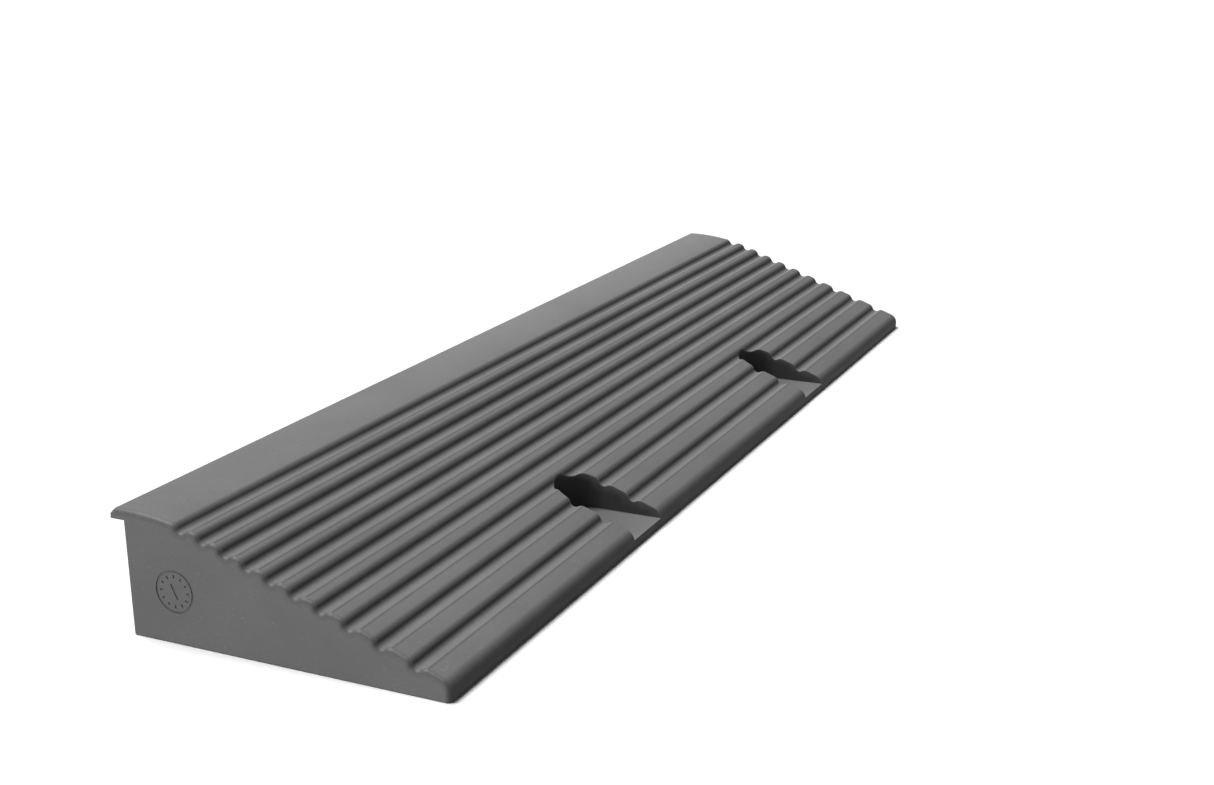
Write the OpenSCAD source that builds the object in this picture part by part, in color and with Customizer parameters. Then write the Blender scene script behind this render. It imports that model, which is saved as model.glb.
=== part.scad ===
// Rubber threshold ramp for a wheelchair.
// A moulded rubber wedge fills the step in front of a door sill. Its nose points to -Y, the lip at
// +Y rests on the sill, and its width runs along X. Ribs across the slope give grip. Two pockets
// in the nose each hold a two-part steel eyelet, and a screw through each eyelet holds the wedge.
// Millimetres and degrees. The origin is the middle of the bounding box's underside.

/* [Ramp] */
// Width of the ramp along the doorway
ramp_w = 800; // [600:10:1000]
// Depth of the base, from the nose to the rear face
base_d = 190; // [188:0.5:194]
// Depth over the lip
total_d = 199.6; // [198:0.1:202]
// Height at the crown, where the slope has become level
ramp_h = 69; // [66:0.5:72]
// Steepness of the slope
slope_angle = 19.9; // [19:0.1:20.5]
// Radius that bends the slope level at its top
crown_r = 165.5; // [150:0.5:180]
// Distance from the nose to where the slope has become level
crown_y = 193; // [190:0.5:196]
// Radius of the nose
nose_r = 7.5; // [4:0.1:9]

/* [Lip] */
// Height of the lip's underside, which rests on the sill
lip_z = 63.5; // [60:0.5:64]
// Radius along the lip's rear edge
lip_edge_r = 3; // [2:0.1:4]
// How far the rear face leans out between the floor and the lip
rear_lean = 1.1; // [0:0.1:2]
// Radius of the edge round both ends
end_edge_r = 3.1; // [1:0.1:3.5]

/* [Ribs] */
// Number of grooves between the ribs
groove_count = 10; // [1:1:10]
// Distance along the slope from the nose's corner to the first groove
first_groove = 20; // [20:0.5:22]
// Distance between the topmost grooves
pitch_top = 14.2; // [14:0.1:14.6]
// Extra distance between the two lowest grooves
pitch_extra = 6.9; // [0:0.1:7]
// Number of grooves over which the extra distance dies out
pitch_settle = 6; // [3:1:6]
// Radius of the bottom of a groove
valley_r = 3.4; // [3:0.1:3.6]
// Radius of a rib's shoulder
shoulder_r = 5.2; // [5:0.1:5.4]
// Angle at which a valley and a shoulder meet
flank_angle = 51; // [40:1:52]

/* [Pockets] */
// Distance between the two pockets
pocket_gap = 322; // [200:1:500]
// Width of a pocket, which ends in a half circle
pocket_w = 40; // [34:1:46]
// Length of a pocket from the nose
pocket_l = 60.5; // [56:0.5:70]
// Thickness of the rubber under a pocket
pocket_floor = 5.2; // [4.8:0.1:6]

/* [Eyelets] */
// Distance of an eyelet's hole from the nose
hole_y = 43; // [36:0.5:48]
// Diameter of the hole, for an M8 bolt or screw
hole_d = 9; // [6:0.1:9]
// Thickness of the eyelet's sheet steel
sheet = 0.9; // [0.6:0.1:1]
// Diameter of the eyelet's flange and of its ring
flange_d = 19; // [17:0.5:22]
// Depth of the recess in the underside that takes the ring
recess_h = 2.4; // [2.2:0.1:2.6]

/* [Hidden] */

nose_y = -total_d / 2;
arc_steps = 6;                  // straight pieces in a rib's quarter turns
end_steps = 5;                  // rings of points round an end's edge
crown_step = 6;                 // length of a straight piece on the smooth crown
over = 1;                       // how far a cutter runs past the face that it cuts
rubber_colour = [0.2, 0.2, 0.21];
steel_colour = [0.62, 0.63, 0.64];

// The slope: a straight line from (0, slope_z), then an arc that ends level at crown_y.
straight_y = crown_y - crown_r * sin(slope_angle);
straight_s = straight_y / cos(slope_angle);
slope_z = ramp_h - straight_y * tan(slope_angle) - crown_r * (1 - cos(slope_angle));
crown_s = straight_s + crown_r * slope_angle * PI / 180;

// A groove: two shoulders and a valley, all arcs that meet at flank_angle.
groove_half = (valley_r + shoulder_r) * sin(flank_angle);
groove_depth = (valley_r + shoulder_r) * (1 - cos(flank_angle));

nose_centre_z = slope_z + nose_r * tan(slope_angle) - nose_r / cos(slope_angle);

barrel_r = hole_d / 2 + sheet;
barrel_gap = 0.05;              // between the barrel and what surrounds it
throat_r = 0.8;                 // the flange's turn into the barrel
rim_r = 0.3;                    // the flange's rim
recess_gap = 0.5;               // between the ring and the recess round it
recess_r = flange_d / 2 + recess_gap;
ring_bottom = recess_h - sheet;
ground_gap = 0.4;               // between the curled end and the ground
curl_r = ring_bottom - ground_gap;

// Angle of the surface at the distance s along the slope.
function angle_at(s) =
    s < straight_s ? slope_angle : slope_angle - (s - straight_s) / crown_r * 180 / PI;

// Point [y, z] at the distance s along the slope and the depth d under it.
function on_slope(s, d) = let (
        a = angle_at(s),
        y = s < straight_s ? s * cos(slope_angle) : crown_y - crown_r * sin(a),
        z = s < straight_s ? slope_z + s * sin(slope_angle) : ramp_h - crown_r * (1 - cos(a))
    ) [y + d * sin(a), z - d * cos(a)];

// Distance between groove i and the next one.
function pitch(i) = pitch_top + pitch_extra * pow(max(0, 1 - i / pitch_settle), 2);

// Distance along the slope to the middle of groove i.
function groove_s(i) = i == 0 ? first_groove : groove_s(i - 1) + pitch(i - 1);

// The outline of the wedge in the YZ plane, from the nose's foot over the top and back. Its upper
// side lies inset mm inside the full outline: the rings round an end's edge are made this way.
function nose_points(inset) = [
    [inset, 0],
    for (i = [0 : arc_steps]) let (t = i / arc_steps * (90 - slope_angle))
        [nose_r - (nose_r - inset) * cos(t), nose_centre_z + (nose_r - inset) * sin(t)]
];
function groove_points(s, inset) = [
    for (i = [0 : arc_steps]) let (t = i / arc_steps * flank_angle, r = shoulder_r - inset)
        on_slope(s - groove_half + r * sin(t), shoulder_r - r * cos(t)),
    for (i = [1 - arc_steps : arc_steps - 1])
        let (t = i / arc_steps * flank_angle, r = valley_r + inset)
        on_slope(s + r * sin(t), groove_depth - valley_r + r * cos(t)),
    for (i = [arc_steps : -1 : 0]) let (t = i / arc_steps * flank_angle, r = shoulder_r - inset)
        on_slope(s + groove_half - r * sin(t), shoulder_r - r * cos(t))
];
last_rib_s = groove_s(groove_count - 1) + groove_half;
crown_steps = ceil((crown_s - last_rib_s) / crown_step);
function crown_points(inset) = [
    for (i = [1 : crown_steps]) on_slope(last_rib_s + i / crown_steps * (crown_s - last_rib_s), inset)
];
// The inset dies out round the lip's rear edge, so the edges below it stay sharp.
function lip_points(inset) = [
    for (i = [0 : arc_steps]) let (t = i / arc_steps, r = lip_edge_r - inset * (1 - t))
        [total_d - lip_edge_r + r * sin(90 * t), ramp_h - lip_edge_r + r * cos(90 * t)],
    [total_d, lip_z],
    [base_d + rear_lean, lip_z],
    [base_d, 0]
];
// Feet on the bottom edge, one under each groove, which the end faces' triangles need.
foot_points = [for (i = [groove_count - 1 : -1 : 0]) [on_slope(groove_s(i), 0)[0], 0]];
function outline(inset) = concat(
    nose_points(inset),
    [for (i = [0 : groove_count - 1]) each groove_points(groove_s(i), inset)],
    crown_points(inset),
    lip_points(inset),
    foot_points
);

// One end's rounded edge as [x, inset] pairs, from the end face inwards.
edge_rings = [
    for (i = [end_steps : -1 : 0]) let (q = i / end_steps * 90)
        [end_edge_r * (1 - sin(q)) - ramp_w / 2, end_edge_r * (1 - cos(q))]
];
// Both ends' rings, from -X to +X.
rings = concat(
    edge_rings,
    [for (i = [end_steps : -1 : 0]) [-edge_rings[i][0], edge_rings[i][1]]]
);

// Triangles that join the first point of a list to each later pair.
function fan(list) = [for (i = [1 : len(list) - 2]) [list[0], list[i + 1], list[i]]];

// Numbers of the outline's points at the heel, and at the foot under groove g and its first point.
nose_n = len(nose_points(0));
groove_n = len(groove_points(0, 0));
heel = nose_n + groove_count * groove_n + len(crown_points(0)) + len(lip_points(0)) - 1;
function foot(g) = heel + groove_count - g;
function first_in(g) = nose_n + g * groove_n;

// An end face in triangles. No single point sees the whole ribbed outline, so each groove gets a
// fan of its own from the foot under it, and the lip gets one from the corner under it.
end_face = let (last_rib = first_in(groove_count) - 1, under_lip = heel - 1) [
    each fan([0, for (i = [1 : nose_n]) i, foot(0)]),
    for (g = [0 : groove_count - 1]) each fan([foot(g), for (i = [0 : groove_n - 1]) first_in(g) + i]),
    for (g = [1 : 1 : groove_count - 1]) each fan([foot(g), foot(g - 1), first_in(g) - 1, first_in(g)]),
    each fan([under_lip, heel, foot(groove_count - 1), last_rib]),
    each fan([under_lip, for (i = [last_rib : under_lip - 1]) i])
];

module wedge() {
    n = len(outline(0));
    last = len(rings) - 1;
    points = [for (ring = rings) for (p = outline(ring[1])) [ring[0], nose_y + p[0], p[1]]];
    sides = [
        for (k = [0 : last - 1]) for (i = [0 : n - 1]) let (a = k * n + i, b = k * n + (i + 1) % n)
            each [[a, b + n, a + n], [a, b, b + n]]
    ];
    far_end = [for (t = end_face) [t[2], t[1], t[0]] + last * n * [1, 1, 1]];
    polyhedron(points, concat(end_face, sides, far_end));
}

// A pocket's room, open upwards and at the nose, with a round end.
module pocket() {
    r = pocket_w / 2;
    translate([0, nose_y + pocket_l - r, pocket_floor]) {
        cylinder(r = r, h = ramp_h, $fn = 96);
        translate([-r, r - pocket_l - over, 0]) cube([pocket_w, pocket_l - r + over, ramp_h]);
    }
}

// The hole in a pocket's floor, with the recess in the underside.
module floor_hole() {
    translate([0, nose_y + hole_y, -over]) {
        cylinder(r = barrel_r + barrel_gap, h = pocket_floor + 2 * over, $fn = 64);
        cylinder(r = recess_r, h = recess_h + over, $fn = 64);
    }
}

module ramp_body() {
    color(rubber_colour) difference() {
        wedge();
        for (side = [-1, 1]) translate([side * pocket_gap / 2, 0, 0]) {
            pocket();
            floor_hole();
        }
    }
}

// What is cut away to round a corner in a half section. The corner is at the origin, the material
// lies towards the quarter turn's centre at [sx, sy] * r.
module corner_cut(r, sx, sy) {
    difference() {
        translate([min(0, sx * r), min(0, sy * r)]) square(r);
        translate([sx * r, sy * r]) circle(r, $fn = 48);
    }
}

// Half section of an eyelet: a flange on the pocket's floor, and a barrel that goes down through
// the rubber and the ring and is curled outwards under the ring.
module eyelet_section() {
    bore_r = hole_d / 2;
    top = pocket_floor + sheet;
    difference() {
        union() {
            translate([bore_r, pocket_floor]) square([flange_d / 2 - bore_r, sheet]);
            translate([bore_r, ring_bottom]) square([sheet, top - ring_bottom]);
            intersection() {
                translate([bore_r + curl_r, ring_bottom]) circle(curl_r, $fn = 48);
                translate([bore_r, ring_bottom - curl_r]) square([2 * curl_r, curl_r]);
            }
        }
        translate([bore_r, top]) corner_cut(throat_r, 1, -1);
        translate([flange_d / 2, top]) corner_cut(rim_r, -1, -1);
    }
}

module eyelet(side) {
    color(steel_colour) translate([side * pocket_gap / 2, nose_y + hole_y, 0])
        rotate_extrude($fn = 96) eyelet_section();
}

// The flat ring that backs the rubber, up in the recess.
module eyelet_ring(side) {
    color(steel_colour) translate([side * pocket_gap / 2, nose_y + hole_y, ring_bottom])
        difference() {
            cylinder(r = flange_d / 2, h = sheet, $fn = 96);
            translate([0, 0, -over]) cylinder(r = barrel_r + barrel_gap, h = sheet + 2 * over, $fn = 96);
        }
}

module fixing_eyelet_left() { eyelet(-1); }
module fixing_eyelet_right() { eyelet(1); }
module eyelet_ring_left() { eyelet_ring(-1); }
module eyelet_ring_right() { eyelet_ring(1); }

ramp_body();
fixing_eyelet_left();
fixing_eyelet_right();
eyelet_ring_left();
eyelet_ring_right();
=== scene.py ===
"""Looks of the rubber threshold ramp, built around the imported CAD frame."""

import math

import bmesh
import bpy
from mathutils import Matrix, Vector
from mathutils.geometry import tessellate_polygon


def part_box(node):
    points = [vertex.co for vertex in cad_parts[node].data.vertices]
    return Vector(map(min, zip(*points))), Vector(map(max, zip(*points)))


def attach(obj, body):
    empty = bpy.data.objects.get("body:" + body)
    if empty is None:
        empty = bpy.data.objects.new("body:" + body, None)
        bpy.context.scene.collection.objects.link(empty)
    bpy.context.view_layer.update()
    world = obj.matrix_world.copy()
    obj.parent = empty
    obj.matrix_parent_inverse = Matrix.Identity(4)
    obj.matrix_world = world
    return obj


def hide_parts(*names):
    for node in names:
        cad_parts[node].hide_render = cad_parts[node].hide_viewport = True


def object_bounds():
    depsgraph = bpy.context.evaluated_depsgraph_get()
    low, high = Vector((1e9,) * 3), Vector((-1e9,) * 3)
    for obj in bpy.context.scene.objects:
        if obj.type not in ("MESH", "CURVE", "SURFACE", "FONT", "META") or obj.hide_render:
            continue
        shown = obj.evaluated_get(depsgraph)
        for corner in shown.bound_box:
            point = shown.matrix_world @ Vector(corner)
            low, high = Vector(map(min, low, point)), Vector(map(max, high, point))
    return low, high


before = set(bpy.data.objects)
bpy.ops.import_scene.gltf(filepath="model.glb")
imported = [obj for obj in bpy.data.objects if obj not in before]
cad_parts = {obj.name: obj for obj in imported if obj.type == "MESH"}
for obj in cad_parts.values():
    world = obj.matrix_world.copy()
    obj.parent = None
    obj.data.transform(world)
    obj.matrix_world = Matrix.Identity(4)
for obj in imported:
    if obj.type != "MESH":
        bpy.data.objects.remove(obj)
CAD_BOX = [list(corner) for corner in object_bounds()]

# ---------------------------------------------------------------- sizes, in millimetres
MM = 0.001                  # in metres
LOW, HIGH = (Vector(c) / MM for c in CAD_BOX)
RAMP_W, TOTAL_D, RAMP_H = HIGH - LOW
HALF_W = RAMP_W / 2
NOSE_Y = LOW.y
BASE_D = 190.0              # from the nose to the rear face
SLOPE = math.radians(19.9)
CROWN_R = 165.5             # bends the slope level at its top
CROWN_Y = 193.0             # where the slope has become level
NOSE_R = 7.5
LIP_Z = 63.5                # the lip's underside
LIP_EDGE_R = 3.0
REAR_LEAN = 1.1             # how far the rear face leans out up to the lip
END_EDGE_R = 3.1            # the rounded edge round both ends
GROOVES = 10
FIRST_GROOVE = 20.0         # along the slope
PITCH_TOP = 14.2            # between the topmost grooves
PITCH_EXTRA = 6.9           # more than that between the two lowest
PITCH_SETTLE = 6            # grooves over which the extra dies out
VALLEY_R = 3.4
SHOULDER_R = 5.2
FLANK = math.radians(51)    # where a valley and a shoulder meet
POCKET_W = 40.0
POCKET_L = 60.5
RIM_R = 0.7                 # radius of a pocket's upper edge
RECESS_GAP = 0.5            # between a ring and the recess round it
BARREL_GAP = 0.05           # between an eyelet's barrel and the rubber

EYELET_LOW, EYELET_HIGH = (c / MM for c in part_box("fixing_eyelet_left"))
RING_LOW, RING_HIGH = (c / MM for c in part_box("eyelet_ring_left"))
HOLE = (EYELET_LOW + EYELET_HIGH) / 2
POCKET_X = -HOLE.x
RECESS_TOP = RING_HIGH.z
RECESS_R = (RING_HIGH.x - RING_LOW.x) / 2 + RECESS_GAP
SHEET = RING_HIGH.z - RING_LOW.z
FLOOR_Z = EYELET_HIGH.z - SHEET
HOLE_R = 4.5
BARREL_R = HOLE_R + SHEET + BARREL_GAP

# ---------------------------------------------------------------- the wedge's outline
STRAIGHT_Y = CROWN_Y - CROWN_R * math.sin(SLOPE)
STRAIGHT_S = STRAIGHT_Y / math.cos(SLOPE)
SLOPE_Z = RAMP_H - STRAIGHT_Y * math.tan(SLOPE) - CROWN_R * (1 - math.cos(SLOPE))
CROWN_S = STRAIGHT_S + CROWN_R * SLOPE
GROOVE_HALF = (VALLEY_R + SHOULDER_R) * math.sin(FLANK)
GROOVE_DEPTH = (VALLEY_R + SHOULDER_R) * (1 - math.cos(FLANK))
NOSE_CENTRE_Z = SLOPE_Z + NOSE_R * math.tan(SLOPE) - NOSE_R / math.cos(SLOPE)

NOSE_STEPS = 12
SHOULDER_STEPS = 8
VALLEY_STEPS = 12
FLAT_STEP = 5.0
LIP_STEPS = 8
END_STEPS = 9
RIM_STEPS = 4
RIM_APART = 0.25            # least distance from a row to an extra column of a round end
ROUND_STEPS = 40            # pieces in a pocket's round end
MIDDLE_TURN = math.radians(89.9)    # past this turn a column stands in the round end's middle
QUARTER_WEIGHT = math.sqrt(0.5)     # makes a rational curve a quarter circle
CIRCLE_STEPS = 64
DIAL_Y = 62.0               # centre of the moulder's dial on the near end
DIAL_Z = 29.0
DIAL_R = 12.0
DIAL_LINE = 1.3
DIAL_DEPTH = 0.6
DIAL_TICKS = 12
DIAL_TICK = (7.4, 9.2, 1.0)         # inner end, outer end and width
DIAL_POINTER = (-4.5, 4.5, 1.6)     # one end, the other end and width
DIAL_TURN = math.radians(65)
POCKET_FLOOR_SHADE = 0.9                 # how dark the painted shade on a pocket's floor gets at the round end
SAME = 0.001                # points closer than this are one point
SHARP = math.radians(32)    # faces that meet at more than this have a hard edge
SHADE_LINE = 2               # the shoulder step with the darkest line of painted shade, and the line's half width
SUPPORT = 0.35              # width of the strips that keep flat faces shaded flat


class Row:
    """A point of the outline: its place, the surface's tilt, its share of the inset at a rounded end,
    and its wear and shade, which is how dark the rubber is painted there: rubbed on rounded edges,
    painted shade in the grooves and on the nose."""

    def __init__(self, y, z, tilt, share=1.0, wear_and_shade=0.0):
        self.y, self.z, self.tilt, self.share, self.wear_and_shade = y, z, tilt, share, wear_and_shade

    def normal(self):
        return Vector((0, -math.sin(self.tilt), math.cos(self.tilt)))

    def at(self, x, inset=0.0):
        n = self.normal() * inset * self.share
        return Vector((x, NOSE_Y + self.y - n.y, self.z - n.z))


def on_slope(s, depth=0.0, tilt=0.0, wear_and_shade=0.0):
    """A row at the distance s along the slope and a depth under it."""
    a = SLOPE if s < STRAIGHT_S else SLOPE - (s - STRAIGHT_S) / CROWN_R
    if s < STRAIGHT_S:
        y, z = s * math.cos(a), SLOPE_Z + s * math.sin(a)
    else:
        y, z = CROWN_Y - CROWN_R * math.sin(a), RAMP_H - CROWN_R * (1 - math.cos(a))
    return Row(y + depth * math.sin(a), z - depth * math.cos(a), a + tilt, 1.0, wear_and_shade)


def groove_places():
    """Distance along the slope to the middle of each groove."""
    s = FIRST_GROOVE
    for i in range(GROOVES):
        yield s
        s += PITCH_TOP + PITCH_EXTRA * max(0, 1 - i / PITCH_SETTLE) ** 2


def groove_rows(s):
    """A shoulder, a valley and a shoulder, with a thin line of painted shade on the first, painted shade
    growing across the valley, and painted shade on the last one, darkest at its foot.
    """
    rows = []
    for i in range(SHOULDER_STEPS + 1):
        t = i / SHOULDER_STEPS * FLANK
        u, d = SHOULDER_R * math.sin(t) - GROOVE_HALF, SHOULDER_R * (1 - math.cos(t))
        rows.append(on_slope(s + u, d, -t, max(0, 1 - abs(i - SHADE_LINE) / SHADE_LINE)))
    for i in range(1, VALLEY_STEPS):
        t = (2 * i / VALLEY_STEPS - 1) * FLANK
        u, d = VALLEY_R * math.sin(t), GROOVE_DEPTH - VALLEY_R * (1 - math.cos(t))
        rows.append(on_slope(s + u, d, t, max(0, i / VALLEY_STEPS - 0.5)))
    for i in range(SHOULDER_STEPS, -1, -1):
        t = i / SHOULDER_STEPS * FLANK
        u, d = GROOVE_HALF - SHOULDER_R * math.sin(t), SHOULDER_R * (1 - math.cos(t))
        rows.append(on_slope(s + u, d, t, i / SHOULDER_STEPS))
    return rows


def outline():
    """Rows from the nose's foot over the top to the heel."""
    rows = [Row(0, 0, math.pi / 2)]
    # The nose gets painted shade, darkest where it stands upright and fading as it turns into the slope.
    for i in range(NOSE_STEPS + 1):
        t = i / NOSE_STEPS * (math.pi / 2 - SLOPE)
        y, z = NOSE_R * (1 - math.cos(t)), NOSE_CENTRE_Z + NOSE_R * math.sin(t)
        rows.append(Row(y, z, math.pi / 2 - t, wear_and_shade=1 - i / NOSE_STEPS))
    for s in groove_places():
        rows += groove_rows(s)
    last = list(groove_places())[-1] + GROOVE_HALF
    steps = math.ceil((CROWN_S - last) / FLAT_STEP)
    rows += [on_slope(last + i / steps * (CROWN_S - last)) for i in range(1, steps + 1)]
    for i in range(LIP_STEPS + 1):
        t = i / LIP_STEPS
        a = t * math.pi / 2
        y = TOTAL_D - LIP_EDGE_R * (1 - math.sin(a))
        z = RAMP_H - LIP_EDGE_R * (1 - math.cos(a))
        rows.append(Row(y, z, -a, 1 - t, math.sin(math.pi * t)))
    rows.append(Row(TOTAL_D, LIP_Z, -math.pi / 2, 0))
    rows.append(Row(BASE_D + REAR_LEAN, LIP_Z, -math.pi, 0))
    rows.append(Row(BASE_D, 0, -math.pi / 2, 0))
    return rows


def blend_rows(a, b, t):
    def mix(name):
        p, q = getattr(a, name), getattr(b, name)
        return p + (q - p) * t

    return Row(*(mix(name) for name in ("y", "z", "tilt", "share", "wear_and_shade")))


def row_at(rows, y):
    """The outline at the distance y from the nose, on the slope side."""
    for a, b in zip(rows[1:], rows[2:]):
        if a.y <= y < b.y:
            return blend_rows(a, b, (y - a.y) / (b.y - a.y))
    return rows[1]


# ---------------------------------------------------------------- mesh building
class Skin:
    """Collects the rubber's vertices and faces, and how dark each vertex is painted: rubbed edges and
    painted shade.
    """

    def __init__(self):
        self.bm = bmesh.new()
        self.wear_and_shade = self.bm.verts.layers.float.new("wear_and_shade")

    def vertex(self, place, wear_and_shade=0.0):
        v = self.bm.verts.new(place * MM)
        v[self.wear_and_shade] = wear_and_shade
        return v

    def face(self, *verts):
        clean = [v for i, v in enumerate(verts) if v is not verts[i - 1]]
        if len(clean) > 2:
            self.bm.faces.new(clean)

    def strip(self, a, b):
        """Quads between two lists of vertices of the same length."""
        for i in range(len(a) - 1):
            self.face(a[i], a[i + 1], b[i + 1], b[i])

    def fill(self, *loops):
        """Fills a flat outline that has holes in it."""
        flat = [v for loop in loops for v in loop]
        for triangle in tessellate_polygon([[v.co for v in loop] for loop in loops]):
            self.face(*(flat[i] for i in triangle))

    def circle(self, centre, radius, z, wear_and_shade_at=lambda y: 0.0):
        turns = [2 * math.pi * i / CIRCLE_STEPS for i in range(CIRCLE_STEPS)]
        places = [(centre.x + radius * math.cos(t), centre.y + radius * math.sin(t)) for t in turns]
        return [self.vertex(Vector((x, y, z)), wear_and_shade_at(y)) for x, y in places]

    def band(self, a, b):
        """Quads between two closed loops."""
        self.strip(a + a[:1], b + b[:1])


def pocket_floor_shade(y):
    """Painted shade on a pocket's floor: darker from the nose to the round end."""
    return POCKET_FLOOR_SHADE * (y - NOSE_Y) / POCKET_L


class Pocket:
    """A round-ended pocket: where its rim crosses the rows, and the rim's rounded edge and wall."""

    def __init__(self, x, rows, first):
        self.x, self.rows, self.first = x, rows, first
        self.r = POCKET_W / 2
        self.outer = self.r + RIM_R
        self.yc = POCKET_L - self.r
        end = self.yc + self.outer
        upper = [j for j, row in enumerate(rows) if j > 0 and row.y < end and row.z < RAMP_H / 2]
        self.last = max(upper)
        self.columns = {}

    def half(self, y):
        """Half the pocket's width at the rim's outer line."""
        if y <= self.yc:
            return self.outer
        return math.sqrt(max(0, self.outer ** 2 - (y - self.yc) ** 2))

    def column(self, skin, row, side, turn):
        """The rim's rounded edge at one place, from the surface down to the wall's foot, with painted
        shade that darkens it into the pocket.
        """
        out = Vector((side * math.cos(turn), math.sin(turn), 0))
        along = Vector((-side * math.sin(turn), math.cos(turn), 0))
        start = Vector((self.x + side * self.half(row.y), NOSE_Y + row.y, row.z))
        inner = row_at(self.rows, self.yc + self.r * math.sin(turn)) if turn > 0 else row
        corner = Vector((self.x + out.x * self.r, NOSE_Y + inner.y, inner.z))
        n = inner.normal()
        n = (n - out * n.dot(out)).normalized()
        if turn > 0:
            foot_turn = turn if turn > MIDDLE_TURN else turn - RIM_R * n.dot(along) / self.r
            x = self.x + side * self.r * math.cos(foot_turn)
            y = NOSE_Y + self.yc + self.r * math.sin(foot_turn)
            end = Vector((x, y, corner.z - RIM_R * n.z))
        else:
            end = corner - n * RIM_R
        places = []
        for i in range(RIM_STEPS + 1):
            t = i / RIM_STEPS
            a, b, c = (1 - t) ** 2, 2 * t * (1 - t) * QUARTER_WEIGHT, t * t
            p = (start * a + corner * b + end * c) / (a + b + c)
            places.append(Vector((p.x, p.y, max(p.z, FLOOR_Z))))
        foot = Vector((places[-1].x, places[-1].y, FLOOR_Z))
        on_floor = [p.z <= FLOOR_Z + SAME for p in places]
        # Painted shade: the rim darkens from the surface down into the pocket, and the wall fades from
        # that to the floor's painted shade.
        wear_and_shade = [pocket_floor_shade(p.y) if low else i / RIM_STEPS for i, (p, low) in enumerate(zip(places, on_floor))]
        verts = [skin.vertex(p, w) for p, w in zip(places, wear_and_shade)]
        level = (places[-1] - foot).length < SAME
        verts.append(verts[-1] if level else skin.vertex(foot, pocket_floor_shade(foot.y)))
        return verts

    def turn_at(self, y):
        """How far round the end the rim has turned, from 0 at its start to a quarter turn."""
        return 0.0 if y <= self.yc else math.asin(min(1, (y - self.yc) / self.outer))

    def build(self, skin):
        """Columns at every row and at even turns between the rows, from one side round to the other."""
        places = [(self.rows[j].y, j) for j in range(self.first, self.last + 1)]
        for i in range(1, ROUND_STEPS // 2 + 1):
            y = self.yc + self.outer * math.sin(math.pi * i / ROUND_STEPS)
            turns = [self.turn_at(p[0]) for p in places if p[1] is not None]
            near = min(abs(self.outer * (self.turn_at(y) - turn)) for turn in turns)
            if near > RIM_APART or i == ROUND_STEPS // 2:
                places.append((y, None))
        places.sort(key=lambda p: p[0])
        self.side = {}
        for side in (-1, 1):
            found = []
            for y, j in places:
                row = self.rows[j] if j is not None else row_at(self.rows, y)
                turn = self.turn_at(y)
                if side == 1 and y >= places[-1][0]:
                    column = self.side[-1][-1][2]
                else:
                    column = self.column(skin, row, side, turn)
                found.append((y, j, column))
                if j is not None:
                    self.columns[side, j] = column
            self.side[side] = found
        for side in (-1, 1):
            columns = [c for _, _, c in self.side[side]]
            for a, b in zip(columns, columns[1:]):
                skin.strip(a, b)
        left, right = ([c for _, _, c in self.side[s]] for s in (-1, 1))
        loop = left[0][:-1]
        loop += [c[-1] for c in left[1:]]
        loop += [c[-1] for c in reversed(right[1:-1])]
        loop += list(reversed(right[0][:-1]))
        centre = Vector((self.x, HOLE.y, 0))
        # the floor round the barrel gets the same painted shade
        hole = skin.circle(centre, BARREL_R, FLOOR_Z, pocket_floor_shade)
        skin.fill(loop, hole)
        under = skin.circle(centre, BARREL_R, RECESS_TOP)
        ceiling = skin.circle(centre, RECESS_R, RECESS_TOP)
        mouth = skin.circle(centre, RECESS_R, LOW.z)
        skin.band(hole, under)
        skin.band(under, ceiling)
        skin.band(ceiling, mouth)
        return mouth

    def between(self, side, j):
        """The rim's surface vertices strictly between row j and the next row."""
        found = self.side[side]
        k = next(i for i, f in enumerate(found) if f[1] == j)
        out = []
        for y, row, column in found[k + 1:]:
            if row is not None:
                break
            out.append(column[0])
        return out


def date_dial(skin, x):
    """A plain moulder's dial pressed into the near end: a ring, twelve ticks and a pointer."""
    def loop(places, depth=0.0):
        return [skin.vertex(Vector((x + depth, DIAL_Y + p[0], DIAL_Z + p[1]))) for p in places]

    def circle(radius):
        turns = [2 * math.pi * i / CIRCLE_STEPS for i in range(CIRCLE_STEPS)]
        return [(radius * math.cos(t), radius * math.sin(t)) for t in turns]

    def bar(turn, start, end, width):
        c, s = math.cos(turn), math.sin(turn)
        corners = ((start, -width), (end, -width), (end, width), (start, width))
        return [(r * c - w / 2 * s, r * s + w / 2 * c) for r, w in corners]

    def press(places):
        rim, floor = loop(places), loop(places, DIAL_DEPTH)
        skin.band(rim, floor)
        skin.fill(floor)
        return rim

    rim, outer_floor = loop(circle(DIAL_R)), loop(circle(DIAL_R), DIAL_DEPTH)
    inner_floor, inner = loop(circle(DIAL_R - DIAL_LINE), DIAL_DEPTH), loop(circle(DIAL_R - DIAL_LINE))
    for a, b in ((rim, outer_floor), (outer_floor, inner_floor), (inner_floor, inner)):
        skin.band(a, b)
    bars = [bar(2 * math.pi * i / DIAL_TICKS, *DIAL_TICK) for i in range(DIAL_TICKS)]
    bars.append(bar(DIAL_TURN, *DIAL_POINTER))
    skin.fill(inner, *(press(places) for places in bars))
    return [rim]


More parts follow.
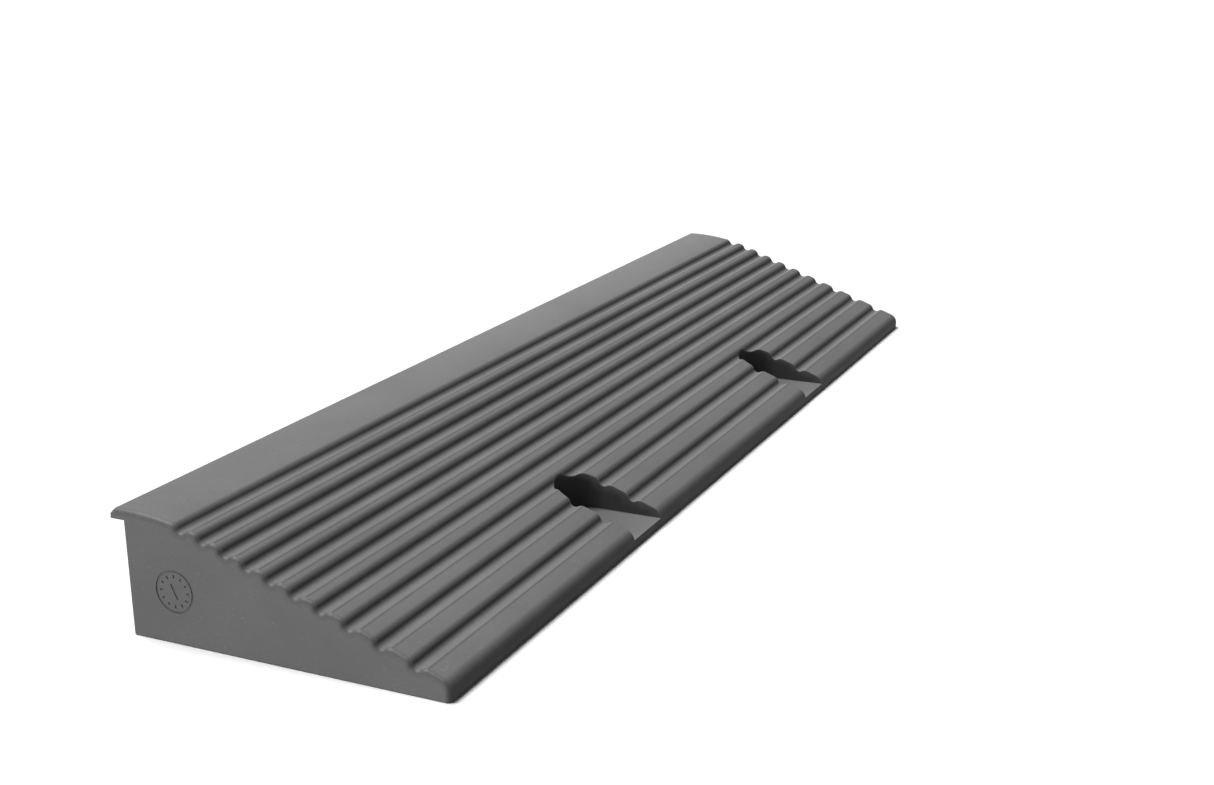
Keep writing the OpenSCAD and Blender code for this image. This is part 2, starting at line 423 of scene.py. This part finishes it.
def build_rubber():
    """The whole wedge as one closed mesh."""
    skin = Skin()
    rows = outline()
    level = next(j for j, row in enumerate(rows) if row.z > FLOOR_Z)
    a, b = rows[level - 1], rows[level]
    rows.insert(level, blend_rows(a, b, (FLOOR_Z - a.z) / (b.z - a.z)))
    pockets = [Pocket(-POCKET_X, rows, level), Pocket(POCKET_X, rows, level)]
    mouths = [p.build(skin) for p in pockets]
    first, last = level, pockets[0].last

    turns = [math.pi / 2 * i / END_STEPS for i in range(END_STEPS, -1, -1)]
    rings = [(0.0, END_EDGE_R + SUPPORT)]       # distance in from the end, and inset
    rings += [(END_EDGE_R * (1 - math.sin(q)), END_EDGE_R * (1 - math.cos(q))) for q in turns]
    rings.append((END_EDGE_R + SUPPORT, 0.0))

    def end_column(row, side):
        """One row's vertices round an end's edge, rubbed darkest in the middle of the rounding, with the
        row's painted shade carried round it.
        """
        last = len(rings) - 1
        column = []
        for k, (x, inset) in enumerate(rings):
            wear_and_shade = max(row.wear_and_shade * k / last, math.sin(math.pi * k / last) * row.share)
            column.append(skin.vertex(row.at(side * (HALF_W - x), inset), wear_and_shade))
        return column

    ends = {side: [end_column(row, side) for row in rows] for side in (-1, 1)}
    for side in (-1, 1):
        for j in range(len(rows) - 1):
            skin.strip(ends[side][j], ends[side][j + 1])
    skin.face(*(column[0] for column in ends[1]))
    skin.fill([column[0] for column in ends[-1]], *date_dial(skin, -HALF_W))

    supports = {}
    for k, pocket in enumerate(pockets):
        for j in range(first - 1, last + 2):
            row = rows[j]
            held = min(max(j, first), last)
            for side in (-1, 1):
                x = pocket.x + side * (pocket.half(rows[held].y) + SUPPORT)
                supports[k, side, j] = skin.vertex(row.at(x), row.wear_and_shade)

    def crossing(j):
        """The row's vertices between the two ends' edges, with its supports beside the pockets."""
        middle = []
        if first - 1 <= j <= last + 1:
            middle = [supports[k, side, j] for k in range(2) for side in (-1, 1)]
        return [ends[-1][j][-1]] + middle + [ends[1][j][-1]]

    for j in range(len(rows) - 1):
        low, high = crossing(j), crossing(j + 1)
        if len(low) != len(high):
            skin.face(*low, *reversed(high))
            continue
        for i in range(len(low) - 1):
            if len(low) == 2 or i % 2 == 0:
                skin.face(low[i], low[i + 1], high[i + 1], high[i])
                continue
            pocket = pockets[i // 2]
            if j < first:
                rim = [pocket.columns[-1, j + 1][0], pocket.columns[1, j + 1][0]]
                skin.face(low[i], low[i + 1], high[i + 1], *reversed(rim), high[i])
            elif j < last:
                left = [pocket.columns[-1, j][0]] + pocket.between(-1, j) + [pocket.columns[-1, j + 1][0]]
                right = [pocket.columns[1, j][0]] + pocket.between(1, j) + [pocket.columns[1, j + 1][0]]
                skin.face(low[i], *left, high[i])
                skin.face(*reversed(right), low[i + 1], high[i + 1])
            else:
                left = [pocket.columns[-1, j][0]] + pocket.between(-1, j)
                right = [pocket.columns[1, j][0]] + pocket.between(1, j)
                rim = left + [v for v in reversed(right) if v is not left[-1]]
                skin.face(low[i], *rim, low[i + 1], high[i + 1], high[i])

    foot = ends[-1][0] + ends[1][0][::-1]
    heel = ends[-1][-1] + ends[1][-1][::-1]
    skin.fill(foot + heel[::-1], *mouths)
    bmesh.ops.remove_doubles(skin.bm, verts=skin.bm.verts, dist=SAME * MM)
    bmesh.ops.recalc_face_normals(skin.bm, faces=skin.bm.faces)
    return mesh_object("rubber_wedge", skin.bm)


def mesh_object(name, bm):
    for face in bm.faces:
        face.smooth = True
    for edge in bm.edges:
        edge.smooth = len(edge.link_faces) == 2 and edge.calc_face_angle(0) < SHARP
    mesh = bpy.data.meshes.new(name)
    bm.to_mesh(mesh)
    bm.free()
    piece = bpy.data.objects.new(name, mesh)
    bpy.context.scene.collection.objects.link(piece)
    return piece


# ---------------------------------------------------------------- materials
RUBBER = (0.041, 0.041, 0.042)
RUBBER_DARK = (0.033, 0.033, 0.034)
RUBBER_PALE = (0.068, 0.068, 0.069)
# the dark of rubbed edges, also used as painted shade
RUBBER_WORN_AND_SHADED = (0.014, 0.014, 0.0145)
FILLER = (0.12, 0.12, 0.12)
STEEL = (0.19, 0.192, 0.192)
STEEL_DULL = (0.12, 0.122, 0.125)
FLOOR = (0.25, 0.25, 0.25)


class Nodes:
    """A small helper that adds and links shader nodes."""

    def __init__(self, name):
        self.material = bpy.data.materials.new(name)
        self.material.use_nodes = True
        self.tree = self.material.node_tree
        self.shader = self.tree.nodes["Principled BSDF"]

    def add(self, kind, **values):
        node = self.tree.nodes.new(kind)
        for key, value in values.items():
            if key in node.inputs:
                node.inputs[key].default_value = value
            else:
                setattr(node, key, value)
        return node

    def link(self, source, target):
        self.tree.links.new(source, target)

    def math(self, operation, a, b):
        node = self.add("ShaderNodeMath", operation=operation)
        for socket, value in zip(node.inputs, (a, b)):
            if isinstance(value, (int, float)):
                socket.default_value = value
            else:
                self.link(value, socket)
        return node.outputs[0]

    def spread(self, value, low, width):
        """A value from 0 to 1 spread over a range."""
        return self.math("ADD", low, self.math("MULTIPLY", value, width))

    def noise(self, place, scale, detail, roughness):
        node = self.add("ShaderNodeTexNoise", Scale=scale, Detail=detail, Roughness=roughness)
        self.link(place, node.inputs["Vector"])
        return node.outputs["Fac"]

    def ramp(self, value, *stops):
        node = self.add("ShaderNodeValToRGB")
        elements = node.color_ramp.elements
        while len(elements) < len(stops):
            elements.new(0.5)
        for element, (place, colour) in zip(elements, stops):
            element.position = place
            element.color = (*colour, 1)
        self.link(value, node.inputs["Fac"])
        return node.outputs["Color"]

    def mix(self, factor, a, b):
        node = self.add("ShaderNodeMix", data_type="RGBA")
        for socket, value in ((node.inputs[0], factor), (node.inputs[6], a), (node.inputs[7], b)):
            if isinstance(value, (int, float)):
                socket.default_value = value
            elif isinstance(value, tuple):
                socket.default_value = (*value, 1)
            else:
                self.link(value, socket)
        return node.outputs[2]

    def bump(self, height, strength, distance, normal=None):
        node = self.add("ShaderNodeBump", Strength=strength, Distance=distance)
        self.link(height, node.inputs["Height"])
        if normal is not None:
            self.link(normal, node.inputs["Normal"])
        return node.outputs["Normal"]


def rubber_material():
    """Moulded black rubber: cloudy tone, fine grain, pale crumbs of filler, dark rubbed edges, and
    painted shade in the grooves, the pockets and on the nose.
    """
    m = Nodes("moulded_rubber")
    place = m.add("ShaderNodeTexCoord").outputs["Object"]
    cloud = m.noise(place, scale=14.0, detail=4.0, roughness=0.6)
    grain = m.noise(place, scale=900.0, detail=2.0, roughness=0.6)
    crumb = m.noise(place, scale=420.0, detail=1.0, roughness=0.5)
    patch = m.noise(place, scale=60.0, detail=5.0, roughness=0.7)
    wear_and_shade = m.add("ShaderNodeAttribute", attribute_name="wear_and_shade").outputs["Fac"]

    cloudy = m.ramp(cloud, (0.3, RUBBER_DARK), (0.7, RUBBER))
    grainy = m.mix(m.math("MULTIPLY", grain, 0.35), cloudy, RUBBER_PALE)
    speck = m.math("GREATER_THAN", crumb, 0.71)
    speckled = m.mix(m.math("MULTIPLY", speck, 0.12), grainy, FILLER)
    # darkens towards that colour: rubbed on rounded edges, painted shade in the grooves, the pockets and
    # on the nose
    wear_and_shade_amount = m.math("MULTIPLY", wear_and_shade, m.spread(patch, 0.55, 0.5))
    m.link(m.mix(wear_and_shade_amount, speckled, RUBBER_WORN_AND_SHADED), m.shader.inputs["Base Color"])

    m.shader.inputs["Specular IOR Level"].default_value = 0.15
    m.link(m.spread(grain, 0.5, 0.18), m.shader.inputs["Roughness"])
    coarse = m.bump(cloud, strength=0.12, distance=0.002)
    fine = m.bump(grain, strength=0.35, distance=0.0002, normal=coarse)
    m.link(fine, m.shader.inputs["Normal"])
    return m.material


def steel_material():
    """Plated pressed steel with dull patches and a very fine grain."""
    m = Nodes("plated_steel")
    place = m.add("ShaderNodeTexCoord").outputs["Object"]
    cloud = m.noise(place, scale=220.0, detail=4.0, roughness=0.6)
    grain = m.noise(place, scale=2500.0, detail=2.0, roughness=0.5)
    m.link(m.ramp(cloud, (0.35, STEEL_DULL), (0.7, STEEL)), m.shader.inputs["Base Color"])
    m.shader.inputs["Metallic"].default_value = 1.0
    m.link(m.spread(cloud, 0.4, 0.25), m.shader.inputs["Roughness"])
    m.link(m.bump(grain, strength=0.15, distance=0.0001), m.shader.inputs["Normal"])
    return m.material


def floor_material():
    m = Nodes("studio_floor")
    m.shader.inputs["Base Color"].default_value = (*FLOOR, 1)
    m.shader.inputs["Roughness"].default_value = 0.9
    m.shader.inputs["Specular IOR Level"].default_value = 0.0
    return m.material


# ---------------------------------------------------------------- the object
rubber = build_rubber()
rubber.data.materials.append(rubber_material())
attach(rubber, "root")
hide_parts("ramp_body")

steel = steel_material()
for name in ("fixing_eyelet_left", "fixing_eyelet_right", "eyelet_ring_left", "eyelet_ring_right"):
    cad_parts[name].data.materials.clear()
    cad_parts[name].data.materials.append(steel)


# ---------------------------------------------------------------- the studio, in metres
CAMERA_PLACE = (-1.0346, -0.4732, 0.3748)
CAMERA_AZIMUTH = math.radians(-65.36)       # of the direction from the ramp back to the camera
CAMERA_ELEVATION = math.radians(16.636)
FLOOR_HALF = 40.0
FLOOR_DROP = 0.0004                         # keeps the floor clear of the ramp's underside
WORLD_STRENGTH = 0.3


def aim(thing, target):
    thing.rotation_euler = (Vector(target) - thing.location).to_track_quat("-Z", "Y").to_euler()


def camera():
    data = bpy.data.cameras.new("camera")
    data.lens = 50.0
    data.sensor_width = 36.0
    data.clip_start, data.clip_end = 0.01, 50
    thing = bpy.data.objects.new("camera", data)
    bpy.context.scene.collection.objects.link(thing)
    level = math.cos(CAMERA_ELEVATION)
    x, y = math.sin(CAMERA_AZIMUTH) * level, -math.cos(CAMERA_AZIMUTH) * level
    back = Vector((x, y, math.sin(CAMERA_ELEVATION)))
    thing.location = CAMERA_PLACE
    thing.rotation_euler = (-back).to_track_quat("-Z", "Y").to_euler()
    bpy.context.scene.camera = thing


def area_light(name, place, target, size, power):
    data = bpy.data.lights.new(name, "AREA")
    data.shape = "RECTANGLE"
    data.size, data.size_y = size
    data.energy = power
    thing = bpy.data.objects.new(name, data)
    thing.location = place
    thing.visible_camera = False
    bpy.context.scene.collection.objects.link(thing)
    aim(thing, target)


def sky_panel(name, towards, spread, power):
    """A broad, even light that reaches the whole floor alike."""
    data = bpy.data.lights.new(name, "SUN")
    data.angle = math.radians(spread)
    data.energy = power
    thing = bpy.data.objects.new(name, data)
    thing.location = towards
    bpy.context.scene.collection.objects.link(thing)
    aim(thing, (0, 0, 0))


def studio():
    mesh = bpy.data.meshes.new("studio_floor")
    corners = [(-1, -1), (1, -1), (1, 1), (-1, 1)]
    places = [(FLOOR_HALF * x, FLOOR_HALF * y, -FLOOR_DROP) for x, y in corners]
    mesh.from_pydata(places, [], [(0, 1, 2, 3)])
    mesh.materials.append(floor_material())
    floor = bpy.data.objects.new("studio_floor", mesh)
    bpy.context.scene.collection.objects.link(floor)
    world = bpy.data.worlds.new("studio")
    world.use_nodes = True
    background = world.node_tree.nodes["Background"].inputs
    background["Color"].default_value = (1, 1, 1, 1)
    background["Strength"].default_value = WORLD_STRENGTH
    bpy.context.scene.world = world
    sky_panel("sky_panel", (-0.08, 0.4, 1.1), 30, 13.6)
    area_light("near_end_light", (-1.9, 0.1, 0.14), (-0.4, 0, 0.03), (0.9, 0.2), 40)
    area_light("far_light", (2.0, 0.9, 0.7), (0.3, 0.05, 0.06), (1.0, 0.6), 5)
    bpy.context.scene.view_settings.view_transform = "Standard"


camera()
studio()
